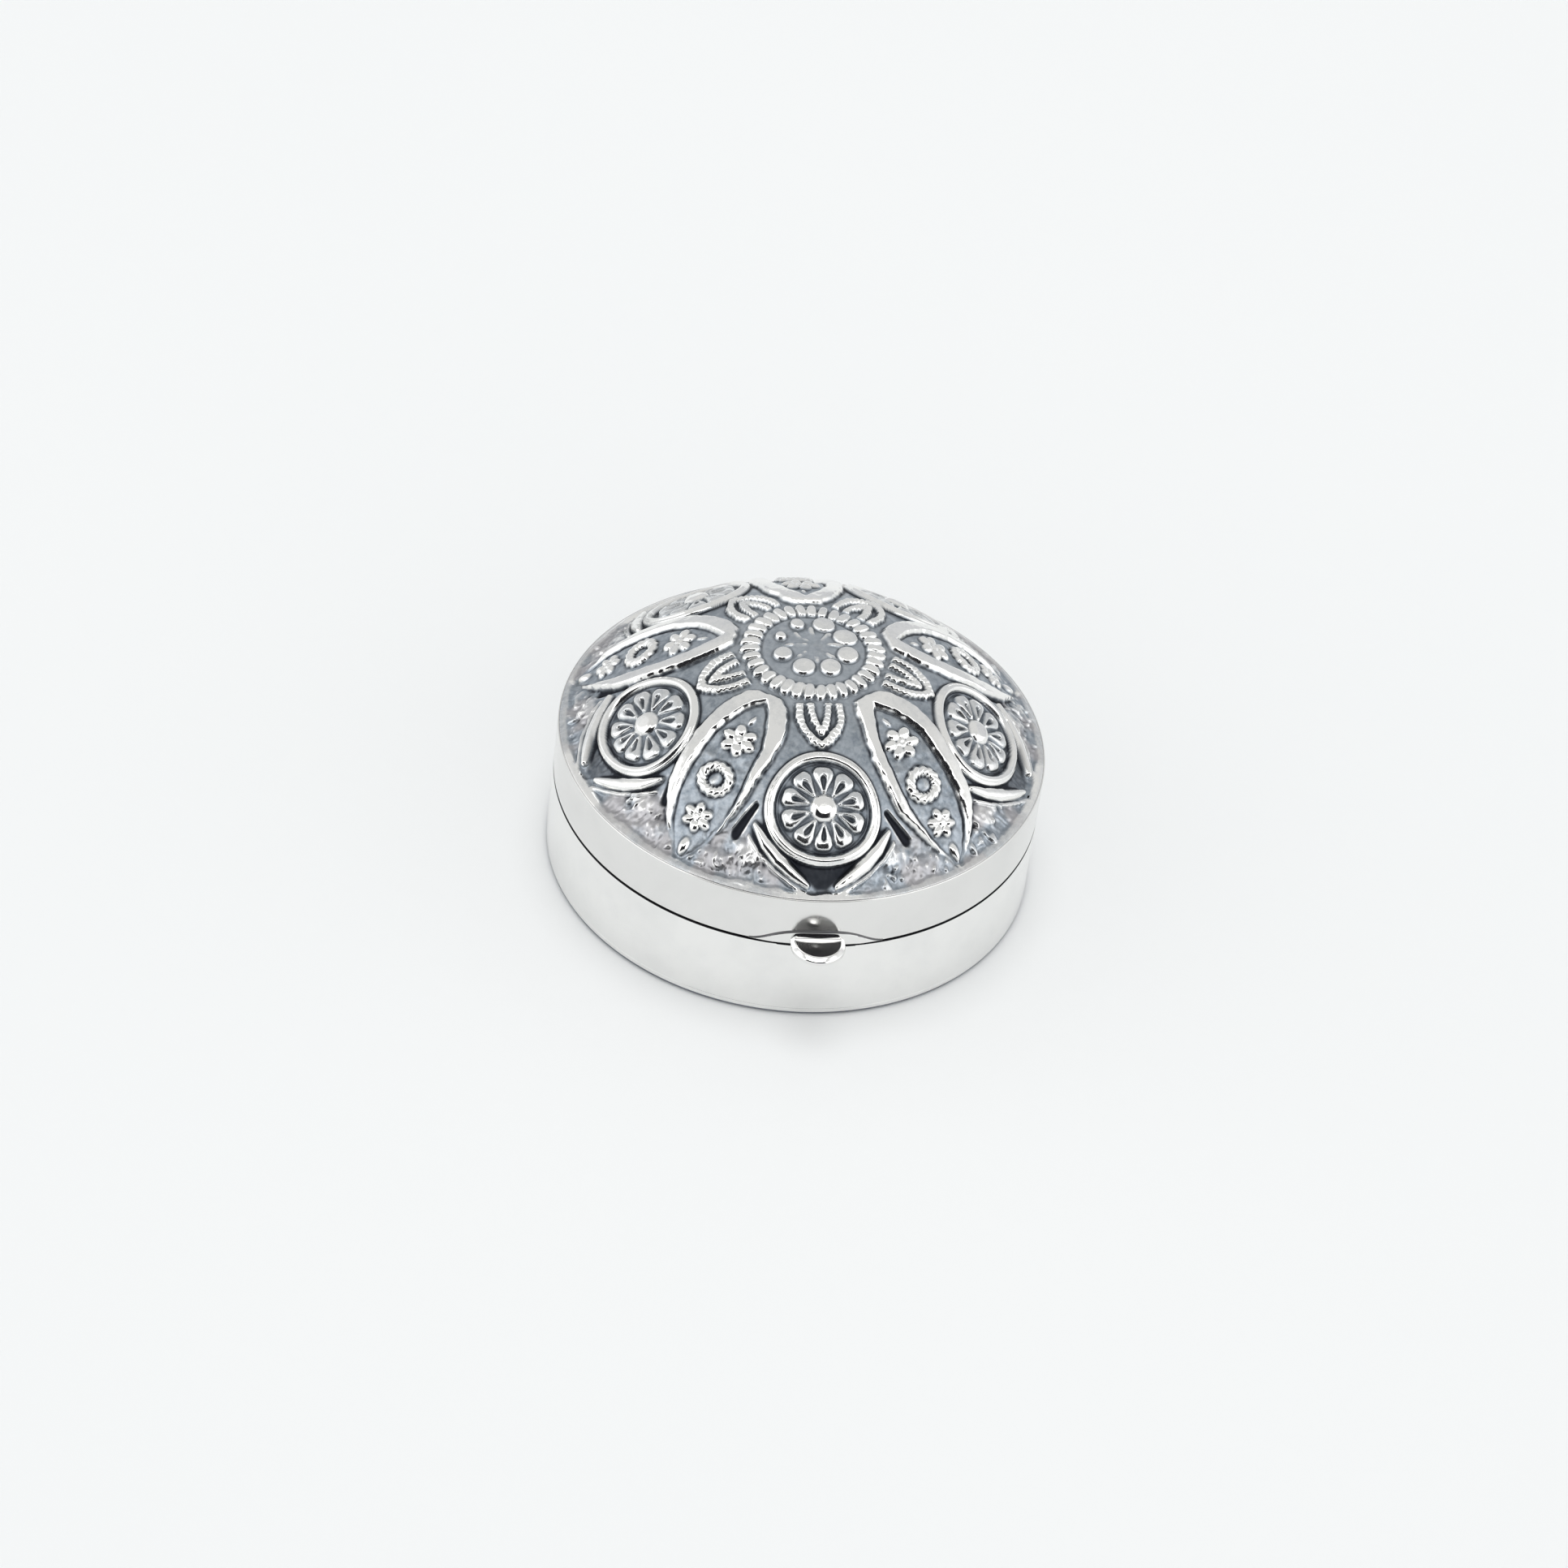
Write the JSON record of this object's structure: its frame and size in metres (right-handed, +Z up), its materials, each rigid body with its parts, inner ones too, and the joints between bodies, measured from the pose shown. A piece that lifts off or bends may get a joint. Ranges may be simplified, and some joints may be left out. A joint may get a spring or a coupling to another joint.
{
  "type": "pill box",
  "caption": "Small round silver pill box with a plain polished base, an embossed domed lid hinged at the back, and a thumb piece at the front.",
  "frame": {"origin": "centre of the flat underside of the base, on the surface it stands on", "axes": "+Z up along the box's own axis, -Y towards the thumb piece, +Y towards the hinge, X along the hinge pin"},
  "size_m": [0.034, 0.0377, 0.0189],
  "materials": {
    "polished_silver": "mirror polished sterling silver with fine handling scratches",
    "embossed_silver": "embossed sterling silver, raised parts polished, hollows oxidised blue grey",
    "inner_silver": "bright sterling silver, softly brushed",
    "hinge_silver": "polished sterling silver, tarnished in the gaps",
    "pin_silver": "drawn silver wire, ends filed flat"
  },
  "bodies": {
    "base": {"base_plate": "inner_silver", "base_wall": "polished_silver", "base_liner": "inner_silver", "base_hinge_bearer": "hinge_silver", "base_knuckle_left": "hinge_silver", "base_knuckle_middle": "hinge_silver", "base_knuckle_right": "hinge_silver", "hinge_pin": "pin_silver"},
    "lid": {"lid_wall": "polished_silver", "lid_dome": "embossed_silver", "lid_hinge_bearer": "hinge_silver", "lid_knuckle_left": "hinge_silver", "lid_knuckle_right": "hinge_silver", "thumb_piece": "polished_silver"}
  },
  "joints": [
    {"name": "lid_hinge", "type": "hinge", "parent": "base", "child": "lid", "pos_m": [0, 0.0174, 0.0065], "axis": [-1, 0, 0], "range_deg": [0, 110]}
  ]
}
